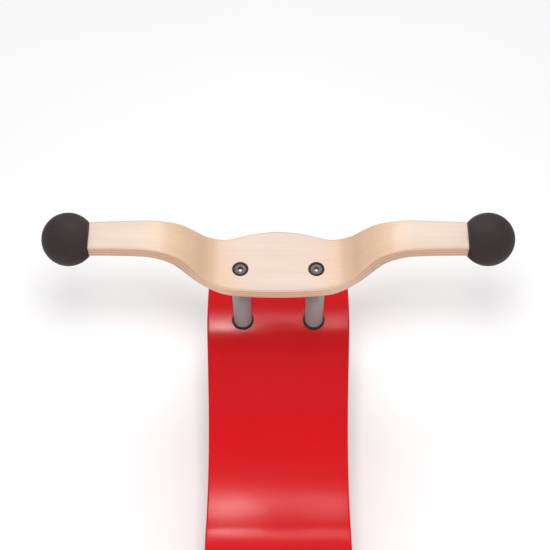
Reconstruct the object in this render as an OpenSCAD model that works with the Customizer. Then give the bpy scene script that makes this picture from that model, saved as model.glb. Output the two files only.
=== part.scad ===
// Toddler ride-on with a bent-plywood body, two upright tube posts and four swivel casters.
// Millimetres. +X is the rider's right, +Y is forward, +Z is up. The origin is on the floor,
// under the centre of the whole object. The body is one plywood strip that curls into a
// C at the nose and another at the tail; the handlebar is a second bent strip.

/* [Body board] */
// Width of the board at the posts
board_w = 151; // [130:1:180]
// Thickness of the board
board_t = 12; // [9:0.5:15]
// Height of the board's top face at the posts
board_z = 262; // [240:1:290]
// Outer radius of the upper half of the nose; the lower half takes up the rest of the height
nose_r = 106; // [94:1:110]
// Level length between the posts and the nose curl
nose_flat = 2; // [1:1:20]
// Outer radius of the hump behind the posts
hump_r = 75; // [50:1:110]
// Slope between the hump and the seat
slope = 30; // [20:1:40]
// Length of the sloping part
slope_len = 45; // [20:1:70]
// Radius of the hollow of the seat
seat_r = 160; // [120:1:220]
// Slope of the seat where it turns up into the tail
rise = 20; // [10:1:24]
// Height of the underside of the two lower decks
deck_z = 76; // [70:1:90]
// How far each side is drawn in at the narrowest place
waist = 2.6; // [0:0.2:6]

/* [Handlebar] */
// Height of the handlebar's top face at its middle
bar_z = 371; // [340:1:400]
// Thickness of the handlebar
bar_t = 15; // [12:0.5:18]
// Half length of the level middle
bar_flat = 50.5; // [46:0.5:58]
// How much higher the grips are than the middle
bar_rise = 51.6; // [46:0.2:60]
// Steepest angle of the two S bends
bar_angle = 54; // [44:0.5:60]
// Centreline radius of the lower bends
bend_low = 40; // [24:1:44]
// Centreline radius of the upper bends
bend_high = 46; // [30:1:50]
// Half width of the wooden part
bar_end = 181; // [170:1:190]
// Diameter of the ball grips
ball_d = 51.5; // [40:0.5:56]
// Distance of a ball's centre from the middle
ball_x = 201; // [196:0.5:206]

/* [Posts] */
// Outer diameter of a post tube
post_d = 19; // [16:0.5:22]
// Wall of a post tube
post_wall = 1.5; // [1:0.25:2]
// Distance of a post from the middle
post_x = 37.5; // [32:0.5:42]
// Diameter of the rubber grommet's flange
grommet_d = 23; // [22:0.5:26]

/* [Casters] */
// Diameter of a wheel
wheel_d = 54; // [44:1:58]
// Width of a tyre
tyre_w = 18; // [14:1:20]
// Distance of the axle behind the swivel axis
trail = 17; // [12:1:18]
// Distance of a caster's swivel axis from the middle
caster_x = 52; // [50:1:54]
// Front casters' distance ahead of the middle of the object
caster_front = 115; // [112:1:118]
// Rear casters' distance behind the middle of the object
caster_rear = 118; // [105:1:126]
// Diameter of the kingpin
pin_d = 8; // [6:0.5:10]
// Diameter of the axle
axle_d = 6; // [5:0.5:8]

/* [Hidden] */
$fn = 96;
// Radial clearance of a running fit, the gap between two turning faces, and the overlap of
// neighbouring pieces of a bent strip.
fit = 0.05;
gap = 0.15;
lap = 0.2;

// Board profile, all as distances behind the posts until post_y is added.
seat_back = hump_r * sin(slope) + slope_len * cos(slope) + seat_r * sin(slope);
seat_drop = hump_r * (1 - cos(slope)) + slope_len * sin(slope) + seat_r * (1 - cos(slope));
seat_z = board_z - seat_drop;
tail_sum = (seat_z + seat_r * (1 - cos(rise)) - deck_z);
tail_r = tail_sum / (1 + cos(rise));
tail_back = seat_back + (seat_r + tail_r) * sin(rise);
// The origin is midway between the nose and the tail.
post_y = (tail_back + tail_r - nose_flat - nose_r) / 2;
nose_y = post_y + nose_flat;
nose_low_r = board_z - deck_z - nose_r;
nose_low_y = nose_y + nose_r - nose_low_r;
nose_cz = deck_z + nose_low_r;
tail_y = post_y - tail_back;
tail_cz = deck_z + tail_r;
seat_y = post_y - seat_back;
deck_front_end = 50;
deck_rear_end = -72;
deck_top = deck_z + board_t;

// Handlebar profile.
bar_under = bar_z - bar_t;
bar_mid = bar_z - bar_t / 2;
bar_turn = (bend_low + bend_high) * (1 - cos(bar_angle));
bar_straight = (bar_rise - bar_turn) / sin(bar_angle);
low_x = bar_flat + bend_low * sin(bar_angle);
low_z = bar_mid + bend_low * (1 - cos(bar_angle));
high_x = low_x + bar_straight * cos(bar_angle);
high_z = low_z + bar_straight * sin(bar_angle);
grip_x = high_x + bend_high * sin(bar_angle);
grip_z = bar_mid + bar_rise;
// Handlebar plan: distance from the middle, then the front edge and the back edge, both
// measured from the line of the posts.
plan = [
    [0, 43.4, 25],
    [25, 40.6, 24.4],
    [50, 34.3, 22],
    [65, 33.9, 17.9],
    [80, 32.6, 13],
    [95, 29.2, 9.6],
    [115, 25.8, 9],
    [150, 24.1, 7.6],
    [181, 22.9, 7.3]
];
grip_y = post_y + 7.2;

// Casters, as [name, x, y].
casters = [
    ["front_left", -caster_x, caster_front],
    ["front_right", caster_x, caster_front],
    ["rear_left", -caster_x, -caster_rear],
    ["rear_right", caster_x, -caster_rear]
];
caster_parts = [
    "tee_nut", "caster_stem", "swivel_bearing", "stem_clip", "caster_fork",
    "axle_bolt", "axle_nut", "wheel_hub", "wheel_tyre", "wheel_bearings"
];
wheel_r = wheel_d / 2;
collar_z = deck_z - 3;
race_z = collar_z - 3;
crown_z = race_z - gap;
crown_t = 3;
clip_z = crown_z - crown_t - gap;
fork_gap = tyre_w + 3.6;
leg_t = 2.5;
fork_out = fork_gap / 2 + leg_t;
hub_w = fork_gap - 2 * 0.3;

main_nodes = [
    "handlebar", "grip_ball_left", "grip_ball_right", "grip_studs",
    "handlebar_screws", "handlebar_washers", "post_left", "post_right",
    "post_plugs_top", "post_plugs_bottom", "post_grommet_left",
    "post_grommet_right", "post_foot_screws", "post_foot_washers", "seat_board"
];

// A wedge of a ring in the XY plane, from angle a0 to a1, less than 180 degrees.
module wedge(r, a0, a1) {
    am = (a0 + a1) / 2;
    polygon([
        [0, 0],
        [2 * r * cos(a0), 2 * r * sin(a0)],
        [4 * r * cos(am), 4 * r * sin(am)],
        [2 * r * cos(a1), 2 * r * sin(a1)]
    ]);
}

module ring_sector(ro, ri, a0, a1) {
    intersection() {
        difference() {
            circle(r = ro, $fn = 180);
            circle(r = ri, $fn = 180);
        }
        wedge(ro, a0, a1);
    }
}

// A straight slab whose near side starts at the origin and runs along angle a.
module slab(len, t, a) {
    rotate(a) square([len, t]);
}

// Copies its children to both posts.
module at_posts() {
    for (s = [-1, 1]) translate([s * post_x, post_y, 0]) children();
}

// A hexagonal socket of width af and depth d, cut down from z = 0.
module hex_socket(af, d) {
    translate([0, 0, -d]) cylinder(d = af / cos(30), h = d + 1, $fn = 6);
}

// ---- Board ----

// Side profile, drawn with Y along the sketch's x axis and Z along its y axis. The straight
// pieces run a little way into the curved ones, so that the strip is one solid.
module board_profile() {
    // Front lower deck and nose: two quarter turns that meet at the foremost line.
    translate([deck_front_end, deck_z]) square([nose_low_y - deck_front_end + lap, board_t]);
    translate([nose_low_y, nose_cz]) ring_sector(nose_low_r, nose_low_r - board_t, 270, 360.2);
    translate([nose_y, nose_cz]) ring_sector(nose_r, nose_r - board_t, 0, 90);
    // Level top, hump and slope.
    translate([post_y - lap, board_z - board_t]) square([nose_flat + 2 * lap, board_t]);
    translate([post_y, board_z - hump_r]) {
        ring_sector(hump_r, hump_r - board_t, 90, 90 + slope);
        rotate(slope) translate([-slope_len - lap, hump_r - board_t])
            square([slope_len + 2 * lap, board_t]);
    }
    // Hollow of the seat.
    translate([seat_y, seat_z + seat_r])
        ring_sector(seat_r + board_t, seat_r, 270 - rise - 0.1, 270 + slope);
    // Tail and rear lower deck.
    translate([tail_y, tail_cz]) {
        ring_sector(tail_r, tail_r - board_t, 90 - rise, 181);
        ring_sector(tail_r, tail_r - board_t, 180, 270);
    }
    translate([tail_y - lap, deck_z]) square([deck_rear_end - tail_y + lap, board_t]);
}

// Half width of the board at a distance y from the middle of the object.
function half_width(y) =
    let (u = (y - seat_y) / (post_y - seat_y))
    board_w / 2 - waist * max(0, 1 - u * u);

// What the two drawn-in sides lose, between the tail and the posts.
module board_waist() {
    span = post_y - seat_y;
    steps = 24;
    for (s = [-1, 1]) {
        linear_extrude(board_z + 2) polygon(concat(
            [[s * board_w, seat_y - span], [s * board_w, post_y]],
            [for (i = [0 : steps]) let (y = post_y - 2 * span * i / steps) [s * half_width(y), y]]
        ));
    }
}

module seat_board() {
    color("firebrick") difference() {
        rotate([90, 0, 90]) translate([0, 0, -board_w / 2]) linear_extrude(board_w) board_profile();
        if (waist > 0) board_waist();
        at_posts() {
            translate([0, 0, board_z - board_t - 5]) cylinder(d = post_d + 2, h = board_t + 10);
            // Spot faces that give the grommet's two flanges a flat seat.
            translate([0, 0, board_z - 0.9]) cylinder(d = grommet_d + 0.4, h = 4);
            translate([0, 0, board_z - board_t - 5]) cylinder(d = grommet_d + 0.4, h = 5);
            // Foot screw.
            translate([0, 0, deck_z - 1]) cylinder(d = 6.6, h = board_t + 2);
        }
        for (c = casters) {
            translate([c[1], c[2], deck_z - 1]) cylinder(d = 9.6, h = board_t + 2);
        }
    }
}

// ---- Handlebar ----

// Right half of the bent profile, drawn with X along x and Z along y.
module bar_half_profile() {
    h = bar_t / 2;
    translate([-1, bar_under]) square([bar_flat + 1 + lap, bar_t]);
    translate([bar_flat, bar_mid + bend_low]) ring_sector(bend_low + h, bend_low - h, 270, 270 + bar_angle);
    translate([low_x, low_z]) rotate(bar_angle) translate([-lap, -h])
        square([bar_straight + 2 * lap, bar_t]);
    translate([grip_x, grip_z - bend_high]) ring_sector(bend_high + h, bend_high - h, 90, 90 + bar_angle);
    translate([grip_x - lap, grip_z - h]) square([bar_end - grip_x + lap, bar_t]);
}

// Smooth curve through the plan's stations (a cubic between each pair of them).
function clampi(i) = max(0, min(len(plan) - 1, i));
function slope_at(i, k) = i == 0 ? 0 :
    (plan[clampi(i + 1)][k] - plan[clampi(i - 1)][k]) / (plan[clampi(i + 1)][0] - plan[clampi(i - 1)][0]);
function hermite(i, k, t) =
    let (w = plan[i + 1][0] - plan[i][0])
    (2 * t * t * t - 3 * t * t + 1) * plan[i][k]
    + (t * t * t - 2 * t * t + t) * w * slope_at(i, k)
    + (3 * t * t - 2 * t * t * t) * plan[i + 1][k]
    + (t * t * t - t * t) * w * slope_at(i + 1, k);
plan_steps = 4;
function edge_points(k, sx, sy) = [
    for (i = [0 : len(plan) - 2], j = [0 : plan_steps - 1])
        let (t = j / plan_steps)
        [sx * (plan[i][0] + t * (plan[i + 1][0] - plan[i][0])), sy * hermite(i, k, t)]
];
function reversed(v) = [for (i = [len(v) - 1 : -1 : 0]) v[i]];
function tail(v) = [for (i = [1 : len(v) - 1]) v[i]];
end_f = plan[len(plan) - 1][1];
end_b = plan[len(plan) - 1][2];
bar_outline = concat(
    edge_points(1, 1, 1), [[bar_end, end_f], [bar_end, -end_b]],
    reversed(edge_points(2, 1, -1)), tail(edge_points(2, -1, -1)),
    [[-bar_end, -end_b], [-bar_end, end_f]],
    reversed(tail(edge_points(1, -1, 1)))
);

module handlebar() {
    color("burlywood") difference() {
        intersection() {
            translate([0, post_y + 50, 0]) rotate([90, 0, 0]) linear_extrude(90) union() {
                bar_half_profile();
                mirror([1, 0]) bar_half_profile();
            }
            translate([0, post_y, bar_under - 5])
                linear_extrude(bar_rise + bar_t + 10) polygon(bar_outline);
        }
        at_posts() {
            translate([0, 0, bar_z - 4]) cylinder(d = 16, h = 10);
            translate([0, 0, bar_under - 1]) cylinder(d = 6.6, h = bar_t + 2);
        }
        for (s = [-1, 1]) {
            translate([s * (bar_end - 22), grip_y, grip_z]) rotate([0, s * 90, 0]) cylinder(d = 8, h = 30);
        }
    }
}

// A ball grip, turned about the axis of its stud, with a flat face against the wood.
module grip_ball(s) {
    color([0.2, 0.17, 0.17]) translate([s * ball_x, grip_y, grip_z]) rotate([0, s * 90, 0])
    rotate_extrude() difference() {
        circle(d = ball_d, $fn = 180);
        translate([-ball_d, -ball_d]) square([ball_d, 2 * ball_d]);
        translate([-1, -ball_d]) square([ball_d, ball_d + bar_end - ball_x]);
        translate([-1, -ball_d]) square([5, ball_d + bar_end - ball_x + 20]);
    }
}

// Steel studs that hold the balls, sunk in the wood and in the ball.
module grip_studs() {
    color("silver") for (s = [-1, 1]) {
        translate([s * (bar_end - 21), grip_y, grip_z])
            rotate([0, s * 90, 0]) cylinder(d = 8 - 2 * fit, h = 40);
    }
}

// Countersunk screws that hold the handlebar on the posts.
screw_top = bar_z - 0.8;
module handlebar_screws() {
    color("dimgray") at_posts() difference() {
        union() {
            translate([0, 0, screw_top - 0.6]) cylinder(d = 12, h = 0.6);
            translate([0, 0, screw_top - 3.6]) cylinder(d1 = 6, d2 = 12, h = 3);
            translate([0, 0, bar_under - 16]) cylinder(d = 6, h = screw_top - 3.6 - bar_under + 16);
        }
        translate([0, 0, screw_top]) hex_socket(5, 2.6);
    }
}

// Cup washers under the screw heads.
module handlebar_washers() {
    color([0.15, 0.12, 0.1]) at_posts() difference() {
        translate([0, 0, bar_z - 4]) cylinder(d = 15.6, h = 3.6);
        translate([0, 0, bar_z - 5]) cylinder(d = 6 + 2 * fit, h = 6);
        translate([0, 0, screw_top - 3.6]) cylinder(d1 = 6 + 2 * fit, d2 = 12 + 2 * fit, h = 3);
        translate([0, 0, screw_top - 0.6]) cylinder(d = 12 + 2 * fit, h = 3);
    }
}

// ---- Posts ----

module post(s) {
    color([0.66, 0.63, 0.6]) translate([s * post_x, post_y, deck_top]) difference() {
        cylinder(d = post_d, h = bar_under - deck_top);
        translate([0, 0, -1]) cylinder(d = post_d - 2 * post_wall, h = bar_under - deck_top + 2);
    }
}

// Threaded plugs pressed into the ends of the tubes.
module plug(z) {
    translate([0, 0, z]) difference() {
        cylinder(d = post_d - 2 * post_wall, h = 22);
        translate([0, 0, -1]) cylinder(d = 6 + 2 * fit, h = 24);
    }
}

module post_plugs_top() {
    color("gray") at_posts() plug(bar_under - 22);
}

module post_plugs_bottom() {
    color("gray") at_posts() plug(deck_top);
}

// Rubber grommet between a post and the board, with a flange on each face.
module post_grommet(s) {
    color([0.13, 0.12, 0.11]) translate([s * post_x, post_y, 0]) difference() {
        union() {
            translate([0, 0, board_z - 0.9]) cylinder(d = grommet_d, h = 1.9);
            translate([0, 0, board_z + 1]) cylinder(d1 = grommet_d, d2 = grommet_d - 1.4, h = 0.7);
            translate([0, 0, board_z - board_t]) cylinder(d = post_d + 2, h = board_t);
            translate([0, 0, board_z - board_t - 1.6]) cylinder(d = grommet_d, h = 1.6);
        }
        translate([0, 0, board_z - board_t - 3]) cylinder(d = post_d + 2 * fit, h = board_t + 8);
    }
}

// Button-head screws and washers under the front deck.
module post_foot_screws() {
    color("silver") at_posts() difference() {
        union() {
            translate([0, 0, deck_z - 1.5 - 2.2]) cylinder(d = 11, h = 2.2);
            translate([0, 0, deck_z - 1.5 - 3.3]) cylinder(d1 = 8, d2 = 11, h = 1.1);
            translate([0, 0, deck_z - 1.5]) cylinder(d = 6, h = board_t + 17.5);
        }
        translate([0, 0, deck_z - 4.9]) rotate([180, 0, 0]) hex_socket(4, 2);
    }
}

module post_foot_washers() {
    color("silver") at_posts() difference() {
        translate([0, 0, deck_z - 1.5]) cylinder(d = 16, h = 1.5);
        translate([0, 0, deck_z - 3]) cylinder(d = 6 + 2 * fit, h = 5);
    }
}

// ---- Casters ----
// Each is drawn about its own swivel axis, with the wheel trailing to the rear.

// Flanged nut in the deck.
module tee_nut() {
    color("silver") difference() {
        union() {
            translate([0, 0, deck_top]) cylinder(d = 18, h = 1.5);
            translate([0, 0, deck_top - 9]) cylinder(d = 9.6, h = 9);
        }
        translate([0, 0, deck_z]) cylinder(d = pin_d + 2 * fit, h = 20);
    }
}

// Stem: threaded end, hexagonal collar and kingpin, in one piece.
module caster_stem() {
    color("gainsboro") {
        translate([0, 0, collar_z]) cylinder(d = 17 / cos(30), h = deck_z - collar_z, $fn = 6);
        translate([0, 0, clip_z - 3.2]) cylinder(d = pin_d, h = deck_top + 1.5 - clip_z + 3.2);
    }
}

// Upper race of the swivel bearing.
module swivel_bearing() {
    color("darkgray") difference() {
        union() {
            translate([0, 0, race_z + 1]) cylinder(d = 26, h = 2);
            translate([0, 0, race_z]) cylinder(d1 = 24, d2 = 26, h = 1);
        }
        translate([0, 0, race_z - 1]) cylinder(d = pin_d + 2 * fit, h = 6);
    }
}

// Clip that keeps the fork on the kingpin.
module stem_clip() {
    color("dimgray") difference() {
        translate([0, 0, clip_z - 1.5]) cylinder(d = 13, h = 1.5);
        translate([0, 0, clip_z - 3]) cylinder(d = pin_d + 2 * fit, h = 5);
    }
}

// Outline of one fork leg, seen from the side: rear edge, boss and front edge.
module leg_outline() {
    boss = 7.5;
    translate([-trail, wheel_r]) circle(r = boss);
    polygon([
        [-trail - 3, crown_z - crown_t],
        [-trail - boss, wheel_r + 4],
        [-trail - boss + 0.4, wheel_r - 1],
        [-trail + boss - 1.2, wheel_r - 4],
        [8, crown_z - crown_t - 3],
        [10, crown_z - crown_t]
    ]);
}

module caster_fork() {
    color([0.16, 0.16, 0.17]) difference() {
        union() {
            // Crown: a round plate with a tongue to the rear, between the two legs.
            translate([0, 0, crown_z - crown_t]) cylinder(d = 2 * fork_out, h = crown_t);
            translate([-fork_out, -trail - 3, crown_z - crown_t]) cube([2 * fork_out, trail + 3, crown_t]);
            for (s = [-1, 1]) {
                translate([s * (fork_out - leg_t / 2), 0, 0]) rotate([90, 0, 90])
                    linear_extrude(leg_t, center = true) leg_outline();
            }
        }
        translate([0, 0, crown_z - crown_t - 1]) cylinder(d = pin_d + 2 * fit, h = crown_t + 2);
        translate([-fork_out - 1, -trail, wheel_r]) rotate([0, 90, 0])
            cylinder(d = axle_d + 2 * fit, h = 2 * fork_out + 2);
    }
}

// Axle with a button head on one side and a cap nut on the other.
module axle_bolt() {
    color("silver") translate([0, -trail, wheel_r]) rotate([0, 90, 0]) difference() {
        union() {
            translate([0, 0, -fork_out - 2]) cylinder(d = 10.5, h = 2);
            translate([0, 0, -fork_out - 3]) cylinder(d1 = 8, d2 = 10.5, h = 1);
            translate([0, 0, -fork_out]) cylinder(d = axle_d, h = 2 * fork_out + 5);
        }
        translate([0, 0, -fork_out - 3]) rotate([180, 0, 0]) hex_socket(4, 2);
    }
}

module axle_nut() {
    color("silver") translate([fork_out, -trail, wheel_r]) rotate([0, 90, 0]) difference() {
        union() {
            cylinder(d = 10 / cos(30), h = 4, $fn = 6);
            translate([0, 0, 4]) cylinder(d1 = 9, d2 = 6, h = 2);
        }
        translate([0, 0, -1]) cylinder(d = axle_d + 2 * fit, h = 6.2);
    }
}

// Wheel hub: web, rim and boss, with the bearings' seats.
module wheel_hub() {
    w = tyre_w - 3;
    color([0.85, 0.84, 0.82]) translate([0, -trail, wheel_r]) rotate([0, 90, 0]) difference() {
        union() {
            difference() {
                cylinder(r = wheel_r - 6, h = w, center = true);
                translate([0, 0, -w]) cylinder(r = wheel_r - 9, h = 2 * w);
            }
            cylinder(r = wheel_r - 8, h = 5, center = true);
            cylinder(d = 17, h = hub_w - 2, center = true);
        }
        cylinder(d = 13, h = hub_w, center = true);
        for (i = [0 : 5]) {
            rotate(i * 60) translate([13.2, 0, -10]) cylinder(d = 5, h = 20);
        }
    }
}

module wheel_tyre() {
    r = wheel_r;
    w = tyre_w;
    color([0.12, 0.12, 0.12]) translate([0, -trail, wheel_r]) rotate([0, 90, 0]) rotate_extrude() polygon([
        [r - 6, -w / 2 + 1.5], [r - 4.5, -w / 2], [r - 2.5, -w / 2], [r - 0.8, -w / 2 + 1.6],
        [r - 0.1, -w / 2 + 4], [r, -w / 4], [r, w / 4],
        [r - 0.1, w / 2 - 4], [r - 0.8, w / 2 - 1.6], [r - 2.5, w / 2], [r - 4.5, w / 2], [r - 6, w / 2 - 1.5]
    ]);
}

// Sleeve bearings pressed into both ends of the hub.
module wheel_bearings() {
    color("goldenrod") translate([0, -trail, wheel_r]) rotate([0, 90, 0]) for (s = [-1, 1]) {
        translate([0, 0, s * (hub_w / 2 - 3)]) difference() {
            cylinder(d = 13, h = 6, center = true);
            cylinder(d = axle_d + 2 * fit, h = 8, center = true);
        }
    }
}

module caster_part(kind) {
    if (kind == "tee_nut") tee_nut();
    if (kind == "caster_stem") caster_stem();
    if (kind == "swivel_bearing") swivel_bearing();
    if (kind == "stem_clip") stem_clip();
    if (kind == "caster_fork") caster_fork();
    if (kind == "axle_bolt") axle_bolt();
    if (kind == "axle_nut") axle_nut();
    if (kind == "wheel_hub") wheel_hub();
    if (kind == "wheel_tyre") wheel_tyre();
    if (kind == "wheel_bearings") wheel_bearings();
}

handlebar();
grip_ball(-1);  // grip_ball_left
grip_ball(1);  // grip_ball_right
grip_studs();
handlebar_screws();
handlebar_washers();
post(-1);  // post_left
post(1);  // post_right
post_plugs_top();
post_plugs_bottom();
post_grommet(-1);  // post_grommet_left
post_grommet(1);  // post_grommet_right
post_foot_screws();
post_foot_washers();
seat_board();
for (c = casters, kind = caster_parts) {
    translate([c[1], c[2], 0]) caster_part(kind);
}
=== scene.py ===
"""Looks for the bent-plywood toddler ride-on. Units are metres, in the row's own frame."""
import math

import bmesh
import bpy
from mathutils import Matrix, Vector


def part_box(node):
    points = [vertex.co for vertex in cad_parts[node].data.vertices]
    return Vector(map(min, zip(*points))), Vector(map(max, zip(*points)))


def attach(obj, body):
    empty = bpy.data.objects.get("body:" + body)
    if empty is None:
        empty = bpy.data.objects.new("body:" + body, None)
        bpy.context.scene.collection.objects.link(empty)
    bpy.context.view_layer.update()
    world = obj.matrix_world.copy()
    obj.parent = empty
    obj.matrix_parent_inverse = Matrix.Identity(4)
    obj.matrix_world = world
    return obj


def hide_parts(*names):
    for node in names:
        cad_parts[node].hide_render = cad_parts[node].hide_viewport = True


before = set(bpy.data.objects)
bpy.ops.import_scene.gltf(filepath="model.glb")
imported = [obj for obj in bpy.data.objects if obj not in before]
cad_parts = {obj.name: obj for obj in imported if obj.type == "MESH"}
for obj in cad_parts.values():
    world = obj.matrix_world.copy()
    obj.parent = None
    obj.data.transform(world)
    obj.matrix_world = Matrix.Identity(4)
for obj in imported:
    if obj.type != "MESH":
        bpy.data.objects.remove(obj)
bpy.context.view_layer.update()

MM = 0.001
CASTERS = ("front_left", "front_right", "rear_left", "rear_right")


# ---------------------------------------------------------------- places taken from the frame

def centre(node):
    lo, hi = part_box(node)
    return (lo + hi) / 2


post_c = centre("post_right")
POST_X, POST_Y = post_c.x, post_c.y
POST_R = (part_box("post_right")[1].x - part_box("post_right")[0].x) / 2
BAR_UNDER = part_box("post_right")[1].z
BAR_T = 15 * MM
BAR_Z = BAR_UNDER + BAR_T
BAR_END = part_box("handlebar")[1].x
GRIP_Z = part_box("handlebar")[1].z - BAR_T / 2
BOARD_LO, BOARD_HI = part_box("seat_board")
BOARD_T = 12 * MM
BOARD_Z = BOARD_HI.z
DECK_Z = BOARD_LO.z

# Handlebar: half of its level middle, centreline radii and angle of the bends, and arc lengths.
BAR_FLAT, BEND_LOW, BEND_HIGH, BAR_ANGLE = 50.5 * MM, 40 * MM, 46 * MM, math.radians(54)
BAR_MID = BAR_Z - BAR_T / 2
BAR_RISE = GRIP_Z - BAR_MID
STRAIGHT = (BAR_RISE - (BEND_LOW + BEND_HIGH) * (1 - math.cos(BAR_ANGLE))) / math.sin(BAR_ANGLE)
LOW_X = BAR_FLAT + BEND_LOW * math.sin(BAR_ANGLE)
LOW_Z = BAR_MID + BEND_LOW * (1 - math.cos(BAR_ANGLE))
HIGH_X = LOW_X + STRAIGHT * math.cos(BAR_ANGLE)
GRIP_X = HIGH_X + BEND_HIGH * math.sin(BAR_ANGLE)
S1 = BAR_FLAT
S2 = S1 + BEND_LOW * BAR_ANGLE
S3 = S2 + STRAIGHT
S4 = S3 + BEND_HIGH * BAR_ANGLE
S5 = S4 + BAR_END - GRIP_X


# ---------------------------------------------------------------- mesh helpers

def new_object(name, bm, material, smooth=True):
    mesh = bpy.data.meshes.new(name)
    bm.normal_update()
    bm.to_mesh(mesh)
    bm.free()
    obj = bpy.data.objects.new(name, mesh)
    bpy.context.scene.collection.objects.link(obj)
    if material:
        mesh.materials.append(material)
    for p in mesh.polygons:
        p.use_smooth = smooth
    return obj


def apply_modifiers(obj):
    dg = bpy.context.evaluated_depsgraph_get()
    mesh = bpy.data.meshes.new_from_object(obj.evaluated_get(dg))
    old = obj.data
    obj.modifiers.clear()
    obj.data = mesh
    bpy.data.meshes.remove(old)


def sharpen(obj, angle=32):
    """Marks edges steeper than the angle as sharp, so that flat faces stay flat under smooth shading."""
    bm = bmesh.new()
    bm.from_mesh(obj.data)
    for e in bm.edges:
        e.smooth = len(e.link_faces) == 2 and e.calc_face_angle(0) < math.radians(angle)
    bm.to_mesh(obj.data)
    bm.free()


def bevel(obj, width, segments=3, angle=30):
    m = obj.modifiers.new("round", "BEVEL")
    m.width, m.segments, m.limit_method = width, segments, "ANGLE"
    m.angle_limit = math.radians(angle)
    m.harden_normals = False
    return m


def weighted(obj):
    m = obj.modifiers.new("normals", "WEIGHTED_NORMAL")
    m.keep_sharp = True
    return m


def lathe(profile, steps=96, closed=False):
    """A bmesh turned about Z from (radius, z) pairs. A radius of 0 is a pole."""
    bm = bmesh.new()
    rings = []
    for r, z in profile:
        if r < 1e-9:
            rings.append([bm.verts.new((0, 0, z))])
        else:
            turns = (2 * math.pi * i / steps for i in range(steps))
            rings.append([bm.verts.new((r * math.cos(a), r * math.sin(a), z)) for a in turns])
    pairs = list(zip(rings, rings[1:]))
    if closed:
        pairs.append((rings[-1], rings[0]))
    for a, b in pairs:
        for i in range(steps):
            j = (i + 1) % steps
            if len(a) == 1 and len(b) == 1:
                continue
            if len(a) == 1:
                bm.faces.new((a[0], b[i], b[j]))
            elif len(b) == 1:
                bm.faces.new((a[i], b[0], a[j]))
            else:
                bm.faces.new((a[i], b[i], b[j], a[j]))
    bmesh.ops.recalc_face_normals(bm, faces=bm.faces)
    return bm


def rounded(points, radius, steps=5, closed=False):
    """A polyline of (r, z) with its corners rounded. A point's third number is its own radius."""
    out = []
    n = len(points)
    for i, p in enumerate(points):
        r = p[2] if len(p) > 2 else radius
        if (not closed and i in (0, n - 1)) or r <= 0:
            out.append((p[0], p[1]))
            continue
        a, b = Vector(points[i - 1][:2]), Vector(points[(i + 1) % n][:2])
        c = Vector(p[:2])
        da, db = a - c, b - c
        la, lb = da.length, db.length
        da.normalize(), db.normalize()
        half = da.angle(db) / 2
        d = min(r / math.tan(half), la * 0.49, lb * 0.49)
        rr = d * math.tan(half)
        mid = (da + db).normalized() * (rr / math.sin(half))
        o = c + mid
        v0, v1 = c + da * d - o, c + db * d - o
        turn = v0.angle(v1)
        sign = 1 if v0.x * v1.y - v0.y * v1.x > 0 else -1
        for k in range(steps + 1):
            t = sign * turn * k / steps
            cos, sin = math.cos(t), math.sin(t)
            out.append((o.x + v0.x * cos - v0.y * sin, o.y + v0.x * sin + v0.y * cos))
    return out


def place(bm, matrix):
    bmesh.ops.transform(bm, matrix=matrix, verts=bm.verts)
    return bm


def merge(parts):
    """One bmesh from several."""
    out = bmesh.new()
    for p in parts:
        tmp = bpy.data.meshes.new("tmp")
        p.to_mesh(tmp)
        p.free()
        out.from_mesh(tmp)
        bpy.data.meshes.remove(tmp)
    return out


def cut(obj, cutter_bm):
    """Boolean difference, applied."""
    cutter = new_object("cutter", cutter_bm, None)
    m = obj.modifiers.new("cut", "BOOLEAN")
    m.operation, m.solver, m.object = "DIFFERENCE", "EXACT", cutter
    apply_modifiers(obj)
    mesh = cutter.data
    bpy.data.objects.remove(cutter)
    bpy.data.meshes.remove(mesh)


def give(obj, name_of_body, slot, *nodes):
    """Rides on a body and stands for CAD nodes. The slot is not used."""
    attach(obj, name_of_body)
    if nodes:
        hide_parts(*nodes)
    return obj


# ---------------------------------------------------------------- node-material helpers

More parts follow.
